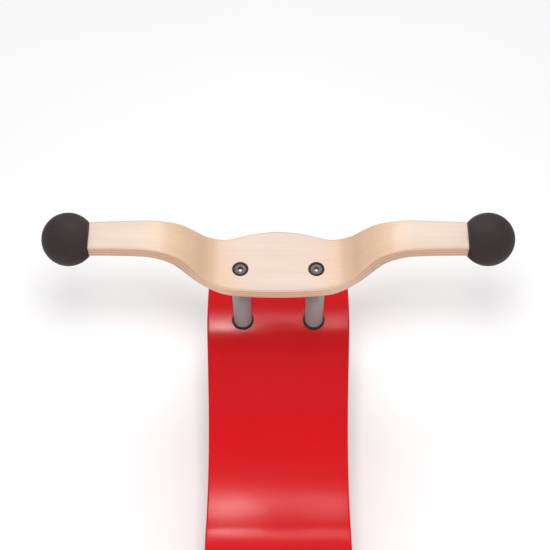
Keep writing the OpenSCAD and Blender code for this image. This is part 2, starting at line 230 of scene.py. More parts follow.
class Mat:
    """A short way to write a node material."""

    def __init__(self, name):
        self.m = bpy.data.materials.new(name)
        self.m.use_nodes = True
        self.t = self.m.node_tree
        self.b = self.t.nodes["Principled BSDF"]

    def node(self, kind, **props):
        n = self.t.nodes.new(kind)
        for k, v in props.items():
            setattr(n, k, v)
        return n

    def link(self, a, b):
        self.t.links.new(a, b)

    def put(self, socket, value):
        if hasattr(value, "is_output"):
            self.link(value, socket)
        else:
            socket.default_value = value

    def set(self, **values):
        for k, v in values.items():
            self.put(self.b.inputs[k.replace("_", " ")], v)
        return self

    def math(self, op, a, b=0.0, c=0.0, clamp=False):
        n = self.node("ShaderNodeMath", operation=op, use_clamp=clamp)
        for i, v in enumerate((a, b, c)):
            self.put(n.inputs[i], v)
        return n.outputs[0]

    def mix(self, fac, a, b, mode="MIX"):
        n = self.node("ShaderNodeMix", data_type="RGBA", blend_type=mode)
        self.put(n.inputs[0], fac)
        self.put(n.inputs[6], a)
        self.put(n.inputs[7], b)
        return n.outputs[2]

    def ramp(self, fac, stops, interpolation="LINEAR"):
        n = self.node("ShaderNodeValToRGB")
        n.color_ramp.interpolation = interpolation
        e = n.color_ramp.elements
        while len(e) < len(stops):
            e.new(0.5)
        for i, (p, c) in enumerate(stops):
            e[i].position = p
            e[i].color = c if len(c) == 4 else (*c, 1)
        self.put(n.inputs[0], fac)
        return n.outputs[0]

    def smooth(self, value, start, end):
        """0 at start and 1 at end, with a smooth step between them."""
        n = self.node("ShaderNodeMapRange", interpolation_type="SMOOTHSTEP")
        self.put(n.inputs["Value"], value)
        n.inputs["From Min"].default_value = start
        n.inputs["From Max"].default_value = end
        return n.outputs[0]

    def band(self, x, up, down):
        """1 between the two ranges, rising smoothly over the first and falling over the second."""
        return self.math("MULTIPLY", self.smooth(x, *up), self.smooth(x, down[1], down[0]))

    def rise(self, x, lo, hi, amount):
        return self.math("MULTIPLY", self.ramp(x, [(lo, (0, 0, 0)), (hi, (1, 1, 1))]), amount)

    def fall(self, x, lo, hi, amount):
        return self.math("MULTIPLY", self.ramp(x, [(lo, (1, 1, 1)), (hi, (0, 0, 0))]), amount)

    def coords(self, scale=(1, 1, 1), attribute=None, offset=(0, 0, 0)):
        m = self.node("ShaderNodeMapping")
        m.inputs["Scale"].default_value = scale
        m.inputs["Location"].default_value = offset
        if attribute:
            src = self.node("ShaderNodeAttribute", attribute_name=attribute).outputs["Vector"]
        else:
            src = self.node("ShaderNodeTexCoord").outputs["Object"]
        self.link(src, m.inputs["Vector"])
        return m.outputs[0]

    def noise(self, vector, scale, detail=3.0, rough=0.5, distortion=0.0):
        n = self.node("ShaderNodeTexNoise")
        self.put(n.inputs["Vector"], vector)
        for k, v in (("Scale", scale), ("Detail", detail), ("Roughness", rough), ("Distortion", distortion)):
            n.inputs[k].default_value = v
        return n.outputs["Fac"]

    def bump(self, height, distance, strength=1.0, normal=None):
        n = self.node("ShaderNodeBump")
        n.inputs["Strength"].default_value = strength
        n.inputs["Distance"].default_value = distance
        self.put(n.inputs["Height"], height)
        if normal is not None:
            self.link(normal, n.inputs["Normal"])
        return n.outputs[0]


def rgb(r, g, b):
    """sRGB 0-255 to a linear colour."""
    f = lambda c: c / 12.92 if c <= 0.04045 else ((c + 0.055) / 1.055) ** 2.4
    return (f(r / 255), f(g / 255), f(b / 255), 1)


# ---------------------------------------------------------------- materials

def ply_stripes(k, t, half, layers):
    """Layer colour seen on a cut edge, from the through-thickness coordinate t in metres."""
    u = k.math("MULTIPLY_ADD", t, layers / (2 * half), layers / 2)
    frac = k.math("FRACT", u)
    odd = k.math("FRACT", k.math("MULTIPLY", k.math("FLOOR", u), 0.5))
    edge = k.math("MINIMUM", frac, k.math("SUBTRACT", 1.0, frac))
    glue = k.math("SUBTRACT", 1.0, k.math("MULTIPLY", edge, 6.0, clamp=True), clamp=True)
    return odd, glue


def plywood_material():
    k = Mat("pale_plywood")
    sep = k.node("ShaderNodeSeparateXYZ")
    k.link(k.node("ShaderNodeAttribute", attribute_name="ply").outputs["Vector"], sep.inputs[0])
    s, _, t = sep.outputs
    # Long, fine grain along the strip, and a slow, broad figure.
    fine = k.noise(k.coords((14, 900, 60), "ply"), 1.0, 4, 0.6, 0.2)
    pores = k.noise(k.coords((60, 2600, 300), "ply", (3, 1, 0)), 1.0, 2, 0.7)
    broad = k.noise(k.coords((6, 60, 8), "ply", (1, 4, 0)), 1.0, 3, 0.5, 0.8)
    wave = k.node("ShaderNodeTexWave", wave_type="BANDS", bands_direction="Y", wave_profile="SIN")
    k.put(wave.inputs["Vector"], k.coords((9, 62, 4), "ply", (0.4, 0.3, 0)))
    settings = {"Scale": 1.0, "Distortion": 7.0, "Detail": 2.0, "Detail Scale": 0.7, "Detail Roughness": 0.5}
    for name, v in settings.items():
        wave.inputs[name].default_value = v
    # Painted light: the first tones are the level faces' painted sheen, the second the bends' painted shade.
    level_sheen_tone, bent = (k.ramp(broad, list(zip((0.30, 0.55, 0.75), tones))) for tones in (
        (rgb(193, 172, 157), rgb(198, 178, 164), rgb(202, 183, 170)),
        (rgb(206, 172, 142), rgb(211, 178, 149), rgb(215, 184, 156))))
    # Painted light: the level faces get a paler, cooler tone as a painted sheen, and the bends a warmer tone
    # as painted shade; the low bends get more painted shade.
    far = k.math("ABSOLUTE", s)
    bend_shade_mask = k.band(far, (S1 - 26 * MM, S2 - 4 * MM), (S3 + 4 * MM, S4 + 8 * MM))
    face = k.mix(bend_shade_mask, level_sheen_tone, bent)
    # Painted shade: darker at the low bends.
    low = k.band(far, (S1 - 22 * MM, S1 + 14 * MM), (S2 - 8 * MM, S2 + 16 * MM))
    face = k.mix(k.math("MULTIPLY", low, 0.6), face, rgb(194, 162, 137))
    face = k.mix(k.fall(fine, 0.35, 0.65, 0.08), face, rgb(186, 148, 114))
    line = k.ramp(wave.outputs["Fac"], [(0.0, (1, 1, 1)), (0.16, (0, 0, 0)), (1.0, (0, 0, 0))])
    face = k.mix(k.math("MULTIPLY", line, 0.08), face, rgb(172, 128, 94))
    face = k.mix(k.rise(pores, 0.62, 0.74, 0.12), face, rgb(150, 108, 78))
    # Edge: layers with dark lines between them; every other layer shows end grain.
    odd, glue = ply_stripes(k, t, BAR_T / 2, 7)
    along = k.noise(k.coords((220, 220, 900), "ply"), 1.0, 3, 0.6)
    edge = k.mix(k.math("MULTIPLY", odd, 2.0), rgb(244, 216, 186), rgb(228, 193, 160))
    # The edge is darker from the low bends outwards.
    edge_outward_tone = k.mix(k.math("MULTIPLY", odd, 2.0), rgb(224, 184, 151), rgb(207, 163, 130))
    edge = k.mix(k.smooth(far, S1, S3), edge, edge_outward_tone)
    edge = k.mix(k.math("MULTIPLY", glue, 0.62), edge, rgb(166, 120, 90))
    edge = k.mix(k.fall(along, 0.4, 0.65, 0.14), edge, rgb(176, 130, 100))
    inside = k.math("SUBTRACT", BAR_T / 2 - 0.9 * MM, k.math("ABSOLUTE", t))
    on_edge = k.math("MULTIPLY", inside, 5000.0, clamp=True)
    colour = k.mix(on_edge, face, edge)
    rough = k.math("MULTIPLY_ADD", fine, 0.14, 0.40)
    h = k.math("ADD", k.math("MULTIPLY", fine, 0.6), k.math("MULTIPLY", pores, 0.5))
    normal = k.bump(h, 0.06 * MM, 0.5)
    k.set(Base_Color=colour, Roughness=rough, Normal=normal)
    k.set(Coat_Weight=0.5, Coat_Roughness=0.3, Specular_IOR_Level=0.4)
    return k.m


def red_board_material():
    k = Mat("red_board")
    sep = k.node("ShaderNodeSeparateXYZ")
    k.link(k.node("ShaderNodeAttribute", attribute_name="ply").outputs["Vector"], sep.inputs[0])
    t = sep.outputs[2]
    vary = k.noise(k.coords((5, 9, 5), "ply"), 1.0, 3, 0.5)
    red = k.ramp(vary, [(0.3, rgb(209, 16, 23)), (0.7, rgb(215, 18, 26))])
    # A trace of the veneer's grain shows through the paint.
    grain = k.noise(k.coords((14, 520, 60), "ply"), 1.0, 4, 0.6, 0.2)
    peel = k.noise(k.coords((760, 760, 760), "ply"), 1.0, 2, 0.6)
    odd, glue = ply_stripes(k, t, BOARD_T / 2, 7)
    along = k.noise(k.coords((240, 240, 900), "ply"), 1.0, 3, 0.6)
    edge = k.mix(k.math("MULTIPLY", odd, 2.0), rgb(232, 200, 172), rgb(214, 176, 146))
    edge = k.mix(k.math("MULTIPLY", glue, 0.70), edge, rgb(152, 106, 80))
    edge = k.mix(k.fall(along, 0.4, 0.65, 0.16), edge, rgb(170, 126, 96))
    waver = k.noise(k.coords((90, 90, 90), "ply"), 1.0, 2)
    wobble = k.math("MULTIPLY", k.math("SUBTRACT", waver, 0.5), 0.5 * MM)
    bare = k.math("SUBTRACT", k.math("ADD", BOARD_T / 2 - 1.6 * MM, wobble), k.math("ABSOLUTE", t))
    bare = k.math("MULTIPLY", bare, 7000.0, clamp=True)
    colour = k.mix(bare, red, edge)
    rough = k.math("MULTIPLY_ADD", bare, 0.30, 0.24)
    h = k.math("ADD", k.math("MULTIPLY", peel, 4.5), k.math("MULTIPLY", grain, 0.25))
    k.set(Base_Color=colour, Roughness=rough, Normal=k.bump(h, 0.05 * MM, 0.5))
    k.set(Specular_IOR_Level=0.21)
    return k.m


def rubber_material(name, colour, high, grain=2600.0, rough=0.62, depth=0.05):
    k = Mat(name)
    fine = k.noise(k.coords(), grain, 2, 0.6)
    broad = k.noise(k.coords((1, 1, 1), None, (2, 3, 1)), 60.0, 3, 0.5)
    base = k.mix(k.ramp(fine, [(0.42, (0, 0, 0)), (0.62, (1, 1, 1))]), colour, high)
    base = k.mix(k.math("MULTIPLY", broad, 0.25), base, high)
    k.set(Base_Color=base, Roughness=k.math("MULTIPLY_ADD", fine, 0.2, rough - 0.1))
    k.set(Normal=k.bump(fine, depth * MM, 0.7), Specular_IOR_Level=0.45)
    return k.m


def metal_material(name, colour, rough, brush=(1, 1, 1), depth=0.006, worn=0.0, metallic=1.0):
    """Metal with fine marks stretched by brush, and soft cloudiness in its gloss."""
    k = Mat(name)
    marks = k.noise(k.coords(brush), 900.0, 3, 0.65)
    cloud = k.noise(k.coords((1, 1, 1), None, (5, 2, 7)), 90.0, 3, 0.5)
    dark = tuple(c * (0.80 - worn) for c in colour[:3]) + (1,)
    base = k.mix(k.math("MULTIPLY", cloud, 0.6), colour, dark)
    base = k.mix(k.rise(marks, 0.45, 0.7, 0.25), base, dark)
    k.set(Base_Color=base, Roughness=k.math("MULTIPLY_ADD", marks, 0.14, rough - 0.07))
    k.set(Normal=k.bump(marks, depth * MM, 0.6), Metallic=metallic)
    return k.m


def moulded_material(name, colour, rough=0.4):
    """Moulded plastic: a faint texture, small flow marks and a little dirt."""
    k = Mat(name)
    tex = k.noise(k.coords(), 1500.0, 2, 0.5)
    flow = k.noise(k.coords((1, 1, 3)), 45.0, 3, 0.5, 0.6)
    dark = tuple(c * 0.86 for c in colour[:3]) + (1,)
    base = k.mix(k.ramp(flow, [(0.35, (0, 0, 0)), (0.75, (0.7, 0.7, 0.7))]), colour, dark)
    k.set(Base_Color=base, Roughness=k.math("MULTIPLY_ADD", tex, 0.16, rough - 0.08))
    k.set(Normal=k.bump(tex, 0.02 * MM, 0.6), Specular_IOR_Level=0.5)
    return k.m


def powder_material(name, colour):
    """Fine-textured powder coat."""
    k = Mat(name)
    tex = k.node("ShaderNodeTexVoronoi", feature="SMOOTH_F1")
    k.put(tex.inputs["Vector"], k.coords())
    tex.inputs["Scale"].default_value = 1400.0
    cloud = k.noise(k.coords(), 70.0, 3, 0.5)
    light = tuple(min(1, c * 1.5 + 0.006) for c in colour[:3]) + (1,)
    k.set(Base_Color=k.mix(k.math("MULTIPLY", cloud, 0.6), colour, light))
    k.set(Roughness=k.math("MULTIPLY_ADD", cloud, 0.15, 0.42))
    k.set(Normal=k.bump(tex.outputs["Distance"], 0.08 * MM, 0.45), Specular_IOR_Level=0.5)
    return k.m


M = {
    # A near-white, barely metallic finish: the painted glint on the socket floors.
    "socket_glint_steel": metal_material("socket_glint_steel", rgb(236, 232, 232), 0.4, metallic=0.15),
    "pale_plywood": plywood_material(),
    "red_plywood": red_board_material(),
    "ball_rubber": rubber_material("ball_rubber", rgb(34, 26, 26), rgb(56, 46, 46), 1500.0, 0.68, 0.12),
    "grommet_rubber": rubber_material("grommet_rubber", rgb(28, 25, 24), rgb(42, 38, 36), 3200.0, 0.55, 0.03),
    "wheel_rubber": rubber_material("wheel_rubber", rgb(44, 44, 45), rgb(60, 59, 58), 1900.0, 0.70, 0.06),
    "satin_aluminium": metal_material("satin_aluminium", rgb(164, 175, 173), 0.40, (1, 1, 0.03), 0.010,
                                       metallic=0.1),
    "zinc_steel": metal_material("zinc_steel", rgb(196, 198, 202), 0.30, (1, 1, 1), 0.006, 0.05),
    "bearing_steel": metal_material("bearing_steel", rgb(186, 188, 192), 0.20, (1, 1, 4), 0.004),
    "dark_screw_steel": metal_material("dark_screw_steel", rgb(104, 95, 97), 0.42, (1, 1, 1), 0.008, 0.1),
    "black_washer": metal_material("black_washer", rgb(40, 29, 24), 0.42, (1, 1, 1), 0.008, 0.1, 0.5),
    "bronze": metal_material("bronze", rgb(176, 132, 84), 0.45, (1, 1, 1), 0.012, 0.1),
    "fork_paint": powder_material("fork_paint", rgb(48, 48, 51)),
    "hub_plastic": moulded_material("hub_plastic", rgb(216, 213, 206), 0.38),
    "plug_plastic": moulded_material("plug_plastic", rgb(58, 58, 60), 0.5),
}


# ---------------------------------------------------------------- handlebar

# Distance from the middle, front edge, back edge, in millimetres from the line of the posts.
PLAN = ((0, 43.4, 25), (25, 40.6, 24.4), (50, 34.3, 22), (65, 33.9, 17.9), (80, 32.6, 13), (95, 29.2, 9.6),
        (115, 25.8, 9), (150, 24.1, 7.6), (181, 22.9, 7.3))


def plan_edge(x, k):
    """Front (k = 1) or back (k = 2) edge of the handlebar's plan at distance x from the middle."""
    x = min(abs(x) / MM, PLAN[-1][0])
    i = max(j for j in range(len(PLAN) - 1) if PLAN[j][0] <= x)

    def slope(j):
        if j == 0:
            return 0
        a, b = PLAN[j - 1], PLAN[min(j + 1, len(PLAN) - 1)]
        return (b[k] - a[k]) / (b[0] - a[0])

    w = PLAN[i + 1][0] - PLAN[i][0]
    t = (x - PLAN[i][0]) / w
    return MM * ((2 * t**3 - 3 * t * t + 1) * PLAN[i][k] + (t**3 - 2 * t * t + t) * w * slope(i)
                 + (3 * t * t - 2 * t**3) * PLAN[i + 1][k] + (t**3 - t * t) * w * slope(i + 1))


def bar_point(s):
    """Centreline point (x, z) and slope angle of the right half at arc length s from the middle."""
    if s <= S1:
        return s, BAR_MID, 0
    if s <= S2:
        a = (s - S1) / BEND_LOW
        return BAR_FLAT + BEND_LOW * math.sin(a), BAR_MID + BEND_LOW * (1 - math.cos(a)), a
    if s <= S3:
        d = s - S2
        return LOW_X + d * math.cos(BAR_ANGLE), LOW_Z + d * math.sin(BAR_ANGLE), BAR_ANGLE
    if s <= S4:
        a = BAR_ANGLE - (s - S3) / BEND_HIGH
        return GRIP_X - BEND_HIGH * math.sin(a), GRIP_Z - BEND_HIGH * (1 - math.cos(a)), a
    return GRIP_X + s - S4, GRIP_Z, 0


def bar_coords(x, z):
    """Arc length from the middle and height above the centreline of a point of the handlebar."""
    x = abs(x)
    if x <= BAR_FLAT:
        return x, z - BAR_MID
    cx, cz = BAR_FLAT, BAR_MID + BEND_LOW
    a = math.atan2(x - cx, cz - z)
    if a <= BAR_ANGLE and z < cz:
        return S1 + BEND_LOW * a, BEND_LOW - math.hypot(x - cx, z - cz)
    u = (x - LOW_X) * math.cos(BAR_ANGLE) + (z - LOW_Z) * math.sin(BAR_ANGLE)
    if u <= STRAIGHT:
        return S2 + u, -(x - LOW_X) * math.sin(BAR_ANGLE) + (z - LOW_Z) * math.cos(BAR_ANGLE)
    if x < GRIP_X:
        cx, cz = GRIP_X, GRIP_Z - BEND_HIGH
        a = math.atan2(cx - x, z - cz)
        return S4 - BEND_HIGH * a, math.hypot(x - cx, z - cz) - BEND_HIGH
    return S4 + x - GRIP_X, z - GRIP_Z


def section(half_t, r, across, corner=6):
    """Rounded-rectangle loop as (t, edge, inset, blend).

    t is the height, edge says front or back, and blend runs from 0 to 1 across a face."""
    loop = []
    flat = half_t - r
    for j in range(1, across):
        loop.append((half_t, None, 0, j / across))
    for t_sign in (1, -1):
        angles = range(corner + 1) if t_sign > 0 else range(corner, -1, -1)
        for c in angles:
            a = math.pi / 2 * c / corner
            loop.append((t_sign * (flat + r * math.cos(a)), 1, r * (1 - math.sin(a)), 1))
        if t_sign > 0:
            loop += [(flat * (1 - 2 * q / 6), 1, 0, 1) for q in range(1, 6)]
    for j in range(across - 1, 0, -1):
        loop.append((-half_t, None, 0, j / across))
    for t_sign in (-1, 1):
        angles = range(corner + 1) if t_sign < 0 else range(corner, -1, -1)
        for c in angles:
            a = math.pi / 2 * c / corner
            loop.append((t_sign * (flat + r * math.cos(a)), 0, r * (1 - math.sin(a)), 0))
        if t_sign < 0:
            loop += [(-flat * (1 - 2 * q / 6), 0, 0, 0) for q in range(1, 6)]
    return loop


def sweep(stations, loop, vertex):
    """Skins the loop at every station and caps both ends. vertex(station, loop entry) gives a point."""
    bm = bmesh.new()
    rings = [[bm.verts.new(vertex(st, e)) for e in loop] for st in stations]
    n = len(loop)
    for a, b in zip(rings, rings[1:]):
        for i in range(n):
            j = (i + 1) % n
            bm.faces.new((a[i], a[j], b[j], b[i]))
    bm.faces.new(rings[0])
    bm.faces.new(reversed(rings[-1]))
    bmesh.ops.recalc_face_normals(bm, faces=bm.faces)
    return bm


def store(obj, coords):
    """Writes the strip's own coordinates (along, across, height) to the mesh."""
    attr = obj.data.attributes.new("ply", "FLOAT_VECTOR", "POINT")
    for v in obj.data.vertices:
        attr.data[v.index].vector = coords(v.co)


def make_handlebar():
    r = 1.9 * MM
    loop = section(BAR_T / 2, r, 14)
    n = 150
    stations = [S5 * i / n for i in range(-n, n + 1)]

    def vertex(s, e):
        t, side, inset, mix = e
        x, z, a = bar_point(abs(s))
        x = x - t * math.sin(a)
        z = z + t * math.cos(a)
        front, back = plan_edge(x, 1), -plan_edge(x, 2)
        if side is None:
            # A face runs between the two roundings.
            y = (back + r) + (front - back - 2 * r) * mix
        else:
            y = front - inset if side else back + inset
        return math.copysign(x, s), POST_Y + y, z

    obj = new_object("handlebar_wood", sweep(stations, loop, vertex), M["pale_plywood"])
    holes = []
    for sx in (-1, 1):
        m = Matrix.Translation((sx * POST_X, POST_Y, 0))
        prof = [(0, BAR_UNDER - 3 * MM), (3.3 * MM, BAR_UNDER - 3 * MM), (3.3 * MM, BAR_Z - 4 * MM),
                (8 * MM, BAR_Z - 4 * MM), (8 * MM, BAR_Z - 0.35 * MM), (8.35 * MM, BAR_Z),
                (8.35 * MM, BAR_Z + 3 * MM), (0, BAR_Z + 3 * MM)]
        holes.append(place(lathe(prof, 72), m))
    cut(obj, merge(holes))

    def strip_axes(co):
        along, through = bar_coords(co.x, co.z)
        return math.copysign(along, co.x), co.y - POST_Y, through

    store(obj, strip_axes)
    sharpen(obj, 35)
    weighted(obj)
    return give(obj, "chassis", "pale_plywood", "handlebar")


# ---------------------------------------------------------------- board

NOSE_R, NOSE_FLAT, HUMP_R, SEAT_R = 106 * MM, 2 * MM, 75 * MM, 160 * MM
SLOPE, SLOPE_LEN, RISE = math.radians(30), 45 * MM, math.radians(20)
WAIST, FRONT_END, REAR_END = 2.6 * MM, 50 * MM, -72 * MM
NOSE_LOW_R = BOARD_Z - DECK_Z - NOSE_R
NOSE_LOW_Y = POST_Y + NOSE_FLAT + NOSE_R - NOSE_LOW_R
SEAT_BACK = HUMP_R * math.sin(SLOPE) + SLOPE_LEN * math.cos(SLOPE) + SEAT_R * math.sin(SLOPE)
SEAT_LOW = BOARD_Z - (HUMP_R + SEAT_R) * (1 - math.cos(SLOPE)) - SLOPE_LEN * math.sin(SLOPE)
TAIL_R = (SEAT_LOW + SEAT_R * (1 - math.cos(RISE)) - DECK_Z) / (1 + math.cos(RISE))
SEAT_Y = POST_Y - SEAT_BACK
TAIL_Y = SEAT_Y - (SEAT_R + TAIL_R) * math.sin(RISE)


def board_path():
    """Centreline pieces from the front deck's end to the rear deck's end, as
    ("line", start, heading, length) or ("arc", start, heading, length, radius). A positive radius
    turns left."""
    h = BOARD_T / 2
    pieces, y, z, a, s = [], FRONT_END, DECK_Z + h, 0.0, 0.0
    plan = (
        ("line", NOSE_LOW_Y - FRONT_END),
        ("arc", math.pi / 2, NOSE_LOW_R - h),
        ("arc", math.pi / 2, NOSE_R - h),
        ("line", NOSE_FLAT),
        ("arc", SLOPE, HUMP_R - h),
        ("line", SLOPE_LEN),
        ("arc", -(SLOPE + RISE), SEAT_R + h),
        ("arc", math.pi + RISE, TAIL_R - h),
        ("line", REAR_END - TAIL_Y),
    )
    for p in plan:
        if p[0] == "line":
            pieces.append((s, p[1], y, z, a, 0))
            y, z, s = y + p[1] * math.cos(a), z + p[1] * math.sin(a), s + p[1]
        else:
            turn, r = p[1], p[2]
            sg = math.copysign(1, turn)
            pieces.append((s, abs(turn) * r, y, z, a, sg * r))
            cy, cz = y - sg * r * math.sin(a), z + sg * r * math.cos(a)
            a += turn
            y, z, s = cy + sg * r * math.sin(a), cz - sg * r * math.cos(a), s + abs(turn) * r
    return pieces, s


BOARD_PIECES, BOARD_LEN = board_path()


def board_point(s):
    """Centreline point (y, z) and heading at arc length s. The outer face is on the right of the heading."""
    piece = [p for p in BOARD_PIECES if p[0] <= s + 1e-9][-1]
    s0, _, y, z, a, r = piece
    d = s - s0
    if r == 0:
        return y + d * math.cos(a), z + d * math.sin(a), a
    b = a + d / r
    return y + r * (math.sin(b) - math.sin(a)), z - r * (math.cos(b) - math.cos(a)), b


def board_coords(y, z):
    """Arc length and height above the centreline, outwards, of a point of the board."""
    best = None
    for s0, length, py, pz, a, r in BOARD_PIECES:
        if r == 0:
            u = (y - py) * math.cos(a) + (z - pz) * math.sin(a)
            t = (y - py) * math.sin(a) - (z - pz) * math.cos(a)
            u = min(max(u, 0), length)
            q = (py + u * math.cos(a), pz + u * math.sin(a))
            d = math.hypot(y - q[0], z - q[1])
        else:
            cy, cz = py - r * math.sin(a), pz + r * math.cos(a)
            sg = math.copysign(1, r)
            dist = math.hypot(y - cy, z - cz)
            ang = math.atan2(sg * (y - cy), -sg * (z - cz)) - a
            ang = (sg * ang) % (2 * math.pi)
            if ang > length / abs(r) + 0.5 * (2 * math.pi - length / abs(r)):
                ang -= 2 * math.pi
            clamped = min(max(ang, 0), length / abs(r))
            u = clamped * abs(r)
            t = sg * (dist - abs(r))
            d = abs(t) if clamped == ang else 1.0
        if best is None or d < best[0]:
            best = (d, s0 + u, t)
    return best[1], best[2]


def half_width(y):
    """Half width of the board, drawn in between the posts and the tail."""
    u = (y - SEAT_Y) / (POST_Y - SEAT_Y)
    return BOARD_HI.x - WAIST * max(0.0, 1 - u * u)


def make_board():
    r = 2.0 * MM
    loop = section(BOARD_T / 2, r, 16)
    n = 330
    inner = [r + (BOARD_LEN - 2 * r) * i / n for i in range(n + 1)]
    # Each station is (arc length, how much the section shrinks): the two ends are rounded over too.
    quarter = [math.pi / 2 * i / 5 for i in range(5)]
    stations = [(r * (1 - math.cos(a)), r * (1 - math.sin(a))) for a in quarter]
    stations = stations + [(s, 0) for s in inner] + [(BOARD_LEN - s, k) for s, k in reversed(stations)]

    def vertex(st, e):
        s, shrink = st
        t, side, inset, mix = e
        t = t * (1 - shrink / (BOARD_T / 2))
        y, z, a = board_point(s)
        y, z = y + t * math.sin(a), z - t * math.cos(a)
        w = half_width(y) - shrink
        x = -(w - r) + 2 * (w - r) * mix if side is None else (w - inset if side else -w + inset)
        return x, y, z

    obj = new_object("seat_board_ply", sweep(stations, loop, vertex), M["red_plywood"])
    cutters = []
    under = BOARD_Z - BOARD_T
    for sx in (-1, 1):
        m = Matrix.Translation((sx * POST_X, POST_Y, 0))
        prof = [(0, under - 5 * MM), (11.7 * MM, under - 5 * MM), (11.7 * MM, under), (10.5 * MM, under),
                (10.5 * MM, BOARD_Z - 0.9 * MM), (11.7 * MM, BOARD_Z - 0.9 * MM),
                (11.7 * MM, BOARD_Z + 4 * MM), (0, BOARD_Z + 4 * MM)]
        cutters.append(place(lathe(prof, 72), m))
        prof = [(0, DECK_Z - 2 * MM), (3.3 * MM, DECK_Z - 2 * MM),
                (3.3 * MM, DECK_Z + BOARD_T + 2 * MM), (0, DECK_Z + BOARD_T + 2 * MM)]
        cutters.append(place(lathe(prof, 48), m))
    for name in CASTERS:
        c = centre("tee_nut_" + name)
        prof = [(0, DECK_Z - 2 * MM), (4.8 * MM, DECK_Z - 2 * MM),
                (4.8 * MM, DECK_Z + BOARD_T + 2 * MM), (0, DECK_Z + BOARD_T + 2 * MM)]
        cutters.append(place(lathe(prof, 48), Matrix.Translation((c.x, c.y, 0))))
    cut(obj, merge(cutters))
    # The strip's own axes: along the veneer's grain is along its length.
    store(obj, lambda co: (board_coords(co.y, co.z)[0], co.x, board_coords(co.y, co.z)[1]))
    sharpen(obj, 35)
    weighted(obj)
    return give(obj, "chassis", "red_plywood", "seat_board")


# ---------------------------------------------------------------- small turned pieces

def make_balls():
    """Ball grips with a flat, slightly rounded face against the wood."""
    radius = 25.7 * MM
    for side, label in ((-1, "left"), (1, "right")):
        node = "grip_ball_" + label
        lo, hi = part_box(node)
        middle = (hi.x if side > 0 else -lo.x) - radius
        face = BAR_END - middle
        turn = math.acos(face / radius)
        prof = [(0, face), (4 * MM, face), (radius * math.sin(turn), face, 1.0 * MM)]
        steps = 72
        round_part = ((turn - 0.09) * (1 - i / steps) for i in range(steps + 1))
        prof += [(radius * math.sin(a), radius * math.cos(a), 0) for a in round_part]
        bm = lathe(rounded(prof, 0.0), 128)
        at = Matrix.Translation((side * middle, (lo.y + hi.y) / 2, (lo.z + hi.z) / 2))
        place(bm, at @ Matrix.Rotation(side * math.pi / 2, 4, "Y"))
        obj = new_object(node + "_rubber", bm, M["ball_rubber"])
        sharpen(obj, 40)
        give(obj, "chassis", "ball_rubber", node)


def make_posts():
    for side in ("left", "right"):
        lo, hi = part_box("post_" + side)
        r, wall, c = POST_R, 1.5 * MM, 0.3 * MM
        prof = [(r - wall, 0), (r - c, 0), (r, c)]
        h = hi.z - lo.z
        prof += [(r, h * i / 12) for i in range(1, 12)]
        prof += [(r, h - c), (r - c, h), (r - wall, h)]
        bm = lathe(prof, 96, closed=True)
        place(bm, Matrix.Translation(((lo.x + hi.x) / 2, (lo.y + hi.y) / 2, lo.z)))
        obj = new_object("post_%s_tube" % side, bm, M["satin_aluminium"])
        sharpen(obj, 30)
        give(obj, "chassis", "satin_aluminium", "post_" + side)


def make_grommets():
    for side in ("left", "right"):
        node = "post_grommet_" + side
        lo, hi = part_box(node)
        c = (lo + hi) / 2
        top, r0, rb, rf = BOARD_Z, POST_R + 0.05 * MM, POST_R + 1 * MM, 11.5 * MM
        under = BOARD_Z - BOARD_T
        prof = rounded([
            (r0, hi.z, 0.5 * MM), (rf, hi.z, 0.9 * MM), (rf, top - 0.9 * MM, 0.1 * MM),
            (rb, top - 0.9 * MM, 0.1 * MM), (rb, under, 0.1 * MM), (rf, under, 0.4 * MM),
            (rf, lo.z, 0.6 * MM), (r0, lo.z, 0.3 * MM)], 0.2 * MM, 5, True)
        bm = lathe(prof, 96, closed=True)
        place(bm, Matrix.Translation((c.x, c.y, 0)))
        obj = new_object(node + "_ring", bm, M["grommet_rubber"])
        sharpen(obj, 50)
        give(obj, "chassis", "grommet_rubber", node)


def hex_cutter(af, z0, z1):
    """A hexagonal socket with a drilled point at its bottom."""
    r = af / 2 / math.cos(math.pi / 6)
    bm = bmesh.new()
    turns = [math.pi / 3 * i + 0.35 for i in range(6)]
    rings = [[bm.verts.new((r * math.cos(a), r * math.sin(a), z)) for a in turns] for z in (z0, z1)]
    tip = bm.verts.new((0, 0, z0 - r * 0.45))
    for i in range(6):
        j = (i + 1) % 6
        bm.faces.new((rings[0][i], rings[0][j], rings[1][j], rings[1][i]))
        bm.faces.new((rings[0][j], rings[0][i], tip))
    bm.faces.new(rings[1])
    bmesh.ops.recalc_face_normals(bm, faces=bm.faces)
    return bm


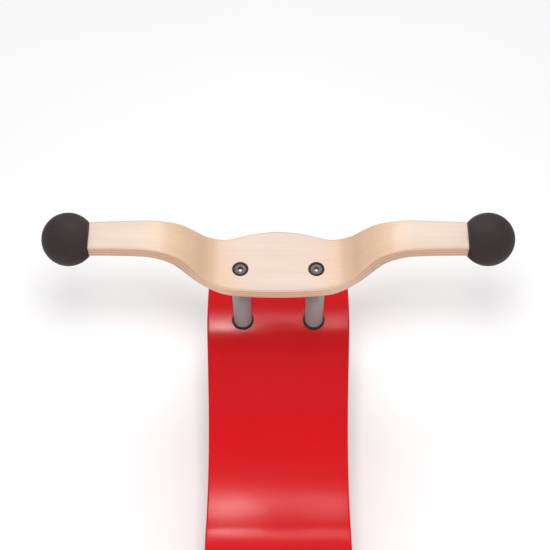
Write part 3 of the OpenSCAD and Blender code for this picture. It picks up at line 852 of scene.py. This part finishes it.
def make_screws():
    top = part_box("handlebar_screws")[1].z
    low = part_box("handlebar_screws")[0].z
    socket = 2.6 * MM
    parts = []
    for sx in (-1, 1):
        prof = [(0, low), (2.4 * MM, low), (3 * MM, low + 0.7 * MM), (3 * MM, top - 3.6 * MM),
                (5.95 * MM, top - 0.62 * MM), (6 * MM, top - 0.5 * MM), (6 * MM, top - 0.25 * MM),
                (5.75 * MM, top - 0.04 * MM), (5.5 * MM, top), (3.15 * MM, top), (0, top)]
        bm = lathe(prof, 72)
        one = new_object("screw_tmp", bm, None)
        cut(one, hex_cutter(5 * MM, top - socket, top + 1 * MM))
        b = bmesh.new()
        b.from_mesh(one.data)
        old = one.data
        bpy.data.objects.remove(one)
        bpy.data.meshes.remove(old)
        place(b, Matrix.Translation((sx * POST_X, POST_Y, 0)) @ Matrix.Rotation(0.5 * sx, 4, "Z"))
        parts.append(b)
    obj = new_object("handlebar_screws_steel", merge(parts), M["dark_screw_steel"])
    sharpen(obj, 28)
    bevel(obj, 0.12 * MM, 2, 40)
    give(obj, "chassis", "dark_screw_steel", "handlebar_screws")
    # Painted glint: a near-white disc on the floor of each socket.
    z, r = top - socket, 1.9 * MM
    floors = []
    for sx in (-1, 1):
        bm = lathe([(0, z - 0.1 * MM), (r, z - 0.1 * MM), (r, z + 0.1 * MM), (0, z + 0.2 * MM)], 32)
        floors.append(place(bm, Matrix.Translation((sx * POST_X, POST_Y, 0))))
    obj = new_object("handlebar_screws_socket_floor", merge(floors), M["socket_glint_steel"])
    give(obj, "chassis", "dark_screw_steel", "handlebar_screws")


def make_washers():
    lo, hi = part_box("handlebar_washers")
    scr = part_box("handlebar_screws")[1].z
    parts = []
    for sx in (-1, 1):
        prof = rounded([
            (3.06 * MM, lo.z), (7.8 * MM, lo.z), (7.8 * MM, hi.z, 0.5 * MM), (6.15 * MM, hi.z, 0.3 * MM),
            (6.06 * MM, scr - 0.6 * MM, 0.05 * MM),
            (3.06 * MM, scr - 3.58 * MM, 0.05 * MM)], 0.15 * MM, 5, True)
        parts.append(place(lathe(prof, 72, closed=True), Matrix.Translation((sx * POST_X, POST_Y, 0))))
    obj = new_object("handlebar_washers_cup", merge(parts), M["black_washer"])
    sharpen(obj, 40)
    give(obj, "chassis", "black_washer", "handlebar_washers")


# ---------------------------------------------------------------- casters

def wheel_matrix(name):
    c = centre("wheel_tyre_" + name)
    return Matrix.Translation(c) @ Matrix.Rotation(math.pi / 2, 4, "Y")


def make_tyre(name):
    node = "wheel_tyre_" + name
    lo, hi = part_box(node)
    r, w = (hi.z - lo.z) / 2, (hi.x - lo.x) / 2
    groove, depth = 0.55 * MM, 0.7 * MM
    prof = [(r - 6 * MM, -w + 1.5 * MM, 0), (r - 4.5 * MM, -w), (r - 2.5 * MM, -w),
            (r - 0.8 * MM, -w + 1.6 * MM), (r - 0.05 * MM, -w + 4 * MM)]
    for z in (-2.6 * MM, 2.6 * MM):
        prof += [(r, z - groove, 0.1 * MM), (r - depth, z - groove * 0.5, 0.1 * MM),
                 (r - depth, z + groove * 0.5, 0.1 * MM), (r, z + groove, 0.1 * MM)]
    prof += [(r - 0.05 * MM, w - 4 * MM), (r - 0.8 * MM, w - 1.6 * MM), (r - 2.5 * MM, w),
             (r - 4.5 * MM, w), (r - 6 * MM, w - 1.5 * MM, 0)]
    bm = lathe(rounded(prof, 1.2 * MM, 5, True), 128, closed=True)
    place(bm, wheel_matrix(name))
    obj = new_object(node + "_tread", bm, M["wheel_rubber"])
    sharpen(obj, 38)
    give(obj, "wheel_" + name, "wheel_rubber", node)


def make_hub(name):
    node = "wheel_hub_" + name
    r = 27 * MM
    w = 7.5 * MM
    lo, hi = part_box(node)
    boss = (hi.x - lo.x) / 2
    prof = rounded([
        (6.5 * MM, -boss), (8.5 * MM, -boss, 0.5 * MM), (8.5 * MM, -2.5 * MM, 1.6 * MM),
        (r - 9 * MM, -2.5 * MM, 1.6 * MM), (r - 9 * MM, -w, 0.6 * MM), (r - 6 * MM, -w, 0.4 * MM),
        (r - 6 * MM, w, 0.4 * MM), (r - 9 * MM, w, 0.6 * MM), (r - 9 * MM, 2.5 * MM, 1.6 * MM),
        (8.5 * MM, 2.5 * MM, 1.6 * MM), (8.5 * MM, boss, 0.5 * MM), (6.5 * MM, boss)], 0.2 * MM, 5, True)
    bm = lathe(prof, 120, closed=True)
    obj = new_object(node + "_web", bm, M["hub_plastic"])
    drill = [(0, -10 * MM), (2.5 * MM, -10 * MM), (2.5 * MM, 10 * MM), (0, 10 * MM)]
    out = Matrix.Translation((13.2 * MM, 0, 0))
    holes = [place(lathe(drill, 36), Matrix.Rotation(math.pi / 3 * i, 4, "Z") @ out) for i in range(6)]
    cut(obj, merge(holes))
    obj.data.transform(wheel_matrix(name))
    sharpen(obj, 34)
    bevel(obj, 0.3 * MM, 3, 40)
    give(obj, "wheel_" + name, "hub_plastic", node)


def make_fork(name):
    """Pressed fork: crown plate and two legs with round eyes."""
    node = "caster_fork_" + name
    lo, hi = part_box(node)
    axis = centre("caster_stem_" + name)
    wheel = centre("wheel_tyre_" + name)
    out, leg, crown = (hi.x - lo.x) / 2, 2.5 * MM, 3 * MM
    top = hi.z
    dy = wheel.y - axis.y
    boss = 7.5 * MM

    def leg_part(sx):
        pts = []
        # Round the eye from its rear edge, below, to its front edge.
        for i in range(0, 25):
            a = math.radians(175 + (350 - 175) * i / 24)
            pts.append((dy + boss * math.cos(a), wheel.z + boss * math.sin(a)))
        pts += [(8 * MM, top - crown - 3 * MM), (9.6 * MM, top - crown), (9.6 * MM, top - 0.2 * MM),
                (dy - 3 * MM, top - 0.2 * MM), (dy - 3 * MM, top - crown)]
        b = bmesh.new()
        x0 = sx * out
        x1 = sx * (out - leg)
        va = [b.verts.new((x0, y, z)) for y, z in pts]
        vb = [b.verts.new((x1, y, z)) for y, z in pts]
        b.faces.new(va)
        b.faces.new(list(reversed(vb)))
        for i in range(len(pts)):
            j = (i + 1) % len(pts)
            b.faces.new((va[i], vb[i], vb[j], va[j]))
        bmesh.ops.recalc_face_normals(b, faces=b.faces)
        return b

    def crown_part():
        b = bmesh.new()
        pts = []
        for i in range(49):
            a = math.radians(180 * i / 48)
            pts.append((out * math.cos(a), out * math.sin(a)))
        pts += [(-out, dy - 3 * MM), (out, dy - 3 * MM)]
        va = [b.verts.new((x, y, top)) for x, y in pts]
        vb = [b.verts.new((x, y, top - crown)) for x, y in pts]
        b.faces.new(va)
        b.faces.new(list(reversed(vb)))
        for i in range(len(pts)):
            j = (i + 1) % len(pts)
            b.faces.new((va[i], vb[i], vb[j], va[j]))
        bmesh.ops.recalc_face_normals(b, faces=b.faces)
        return b

    obj = new_object(node + "_steel", crown_part(), M["fork_paint"])
    for sx in (-1, 1):
        other = new_object("leg_tmp", leg_part(sx), None)
        m = obj.modifiers.new("join", "BOOLEAN")
        m.operation, m.solver, m.object = "UNION", "EXACT", other
        apply_modifiers(obj)
        mesh = other.data
        bpy.data.objects.remove(other)
        bpy.data.meshes.remove(mesh)
    r = 4.05 * MM
    cut(obj, lathe([(0, top - 6 * MM), (r, top - 6 * MM), (r, top + 2 * MM), (0, top + 2 * MM)], 48))
    axle = lathe([(0, -20 * MM), (3.05 * MM, -20 * MM), (3.05 * MM, 20 * MM), (0, 20 * MM)], 48)
    cut(obj, place(axle, Matrix.Translation((0, dy, wheel.z)) @ Matrix.Rotation(math.pi / 2, 4, "Y")))
    obj.data.transform(Matrix.Translation((axis.x, axis.y, 0)))
    sharpen(obj, 34)
    bevel(obj, 0.45 * MM, 3, 34)
    weighted(obj)
    give(obj, "swivel_" + name, "fork_paint", node)


def dress(node, slot, width=0.25, angle=32):
    """Keeps a CAD node and gives it a finish and softened edges."""
    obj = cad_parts[node]
    obj.data.materials.clear()
    obj.data.materials.append(M[slot])
    for p in obj.data.polygons:
        p.use_smooth = True
    m = obj.modifiers.new("weld", "WELD")
    m.merge_threshold = 0.01 * MM
    bevel(obj, width * MM, 3, angle)
    weighted(obj)
    return obj


make_handlebar()
make_board()
make_balls()
make_posts()
make_grommets()
make_screws()
make_washers()
for caster in CASTERS:
    make_tyre(caster)
    make_hub(caster)
    make_fork(caster)
    dress("tee_nut_" + caster, "zinc_steel")
    dress("caster_stem_" + caster, "zinc_steel")
    dress("swivel_bearing_" + caster, "bearing_steel")
    dress("stem_clip_" + caster, "dark_screw_steel")
    dress("axle_bolt_" + caster, "zinc_steel", 0.2)
    dress("axle_nut_" + caster, "zinc_steel", 0.3)
    dress("wheel_bearings_" + caster, "bronze", 0.2)
dress("grip_studs", "zinc_steel")
dress("post_plugs_top", "plug_plastic")
dress("post_plugs_bottom", "plug_plastic")
dress("post_foot_screws", "zinc_steel", 0.2)
dress("post_foot_washers", "zinc_steel", 0.2)


# ---------------------------------------------------------------- stage

def floor_material():
    k = Mat("floor")
    n = k.noise(k.coords(), 3.0, 2, 0.5)
    k.set(Base_Color=k.ramp(n, [(0.3, (0.95, 0.95, 0.95)), (0.7, (0.97, 0.97, 0.97))]))
    k.set(Roughness=0.9, Specular_IOR_Level=0.1)
    return k.m


bm = bmesh.new()
bmesh.ops.create_grid(bm, x_segments=1, y_segments=1, size=6)
floor = new_object("floor", bm, floor_material())

scene = bpy.context.scene
scene.view_settings.view_transform = "Standard"
scene.view_settings.look = "None"
scene.view_settings.exposure = 0.0
world = bpy.data.worlds.new("studio")
scene.world = world
world.use_nodes = True
world.node_tree.nodes["Background"].inputs["Color"].default_value = (1, 1, 1, 1)
world.node_tree.nodes["Background"].inputs["Strength"].default_value = 0.42


def area(name, location, target, size_x, size_y, power, glossy=True, diffuse=True):
    light = bpy.data.lights.new(name, "AREA")
    light.shape = "RECTANGLE"
    light.size, light.size_y = size_x, size_y
    light.energy = power
    obj = bpy.data.objects.new(name, light)
    scene.collection.objects.link(obj)
    obj.location = location
    obj.rotation_euler = (Vector(target) - Vector(location)).to_track_quat("-Z", "Y").to_euler()
    obj.visible_glossy, obj.visible_diffuse = glossy, diffuse
    return obj


# A large overhead light and a smaller one behind the rider give the soft shadows.
area("overhead", (0, POST_Y + 1.0, 4.1), (0, POST_Y, 0.3), 2.6, 2.0, 64, glossy=False)
rear = area("rear_softbox", (0, POST_Y - 0.43, 1.5), (0, POST_Y, 0.2), 0.2, 0.2, 10.6, glossy=False)
fill = area("board_fill", (0, POST_Y - 2.4, 3.2), (0, POST_Y, 0.25), 1.0, 1.0, 54, glossy=False)
# The strips are only there to be reflected: a wide one in front by the level faces, and a small one at
# each side by the hump. Each row has the name, sideways place, distance from the hump, angle above
# the floor in degrees, two sides and power.
STRIPS = (("strip", 0, 0.7, 61.7, 0.62, 0.088, 1.35),
          ("strip_left", -0.065, 0.2, 76, 0.03, 0.05, 0.30),
          ("strip_right", 0.062, 0.2, 74, 0.03, 0.03, 0.075))
strips = []
for name, x, reach, up, wide, deep, power in STRIPS:
    y, z = reach * math.cos(math.radians(up)), reach * math.sin(math.radians(up))
    at, aim = (x, POST_Y + y, BOARD_Z + z), (x, POST_Y, BOARD_Z)
    strips.append(area(name, at, aim, wide, deep, power, diffuse=False))
    strips[-1].visible_camera = False
# The rear softbox is flagged off the board, so that the handlebar's shadow doesn't fall on its front; a
# lower light from the same side, for the board alone, stands in for it. The side strips are for the
# board alone too, and the handlebar doesn't shade them.
for light, state in ((rear, "EXCLUDE"), (fill, "INCLUDE"), (strips[1], "INCLUDE"), (strips[2], "INCLUDE")):
    flag = bpy.data.collections.new(light.name + "_receivers")
    flag.objects.link(bpy.data.objects["seat_board_ply"])
    light.light_linking.receiver_collection = flag
    if light in strips:
        light.light_linking.blocker_collection = flag
    flag.collection_objects[0].light_linking.link_state = state

# Camera: it looks forward and down, from above and behind the rider's place.
ELEVATION = math.radians(60.5)
view_dir = Vector((0, math.cos(ELEVATION), -math.sin(ELEVATION)))
view_up = Vector((0, math.sin(ELEVATION), math.cos(ELEVATION)))
camera = bpy.data.cameras.new("camera")
camera.sensor_width = 36
camera.lens = 84
camera.shift_x = -0.006
camera.dof.use_dof = False
cam = bpy.data.objects.new("camera", camera)
scene.collection.objects.link(cam)
cam.location = Vector((0, POST_Y, BAR_Z)) - 6.11 * MM * view_up - 1.2647 * view_dir
cam.rotation_euler = (math.pi / 2 - ELEVATION, 0, 0)
scene.camera = cam
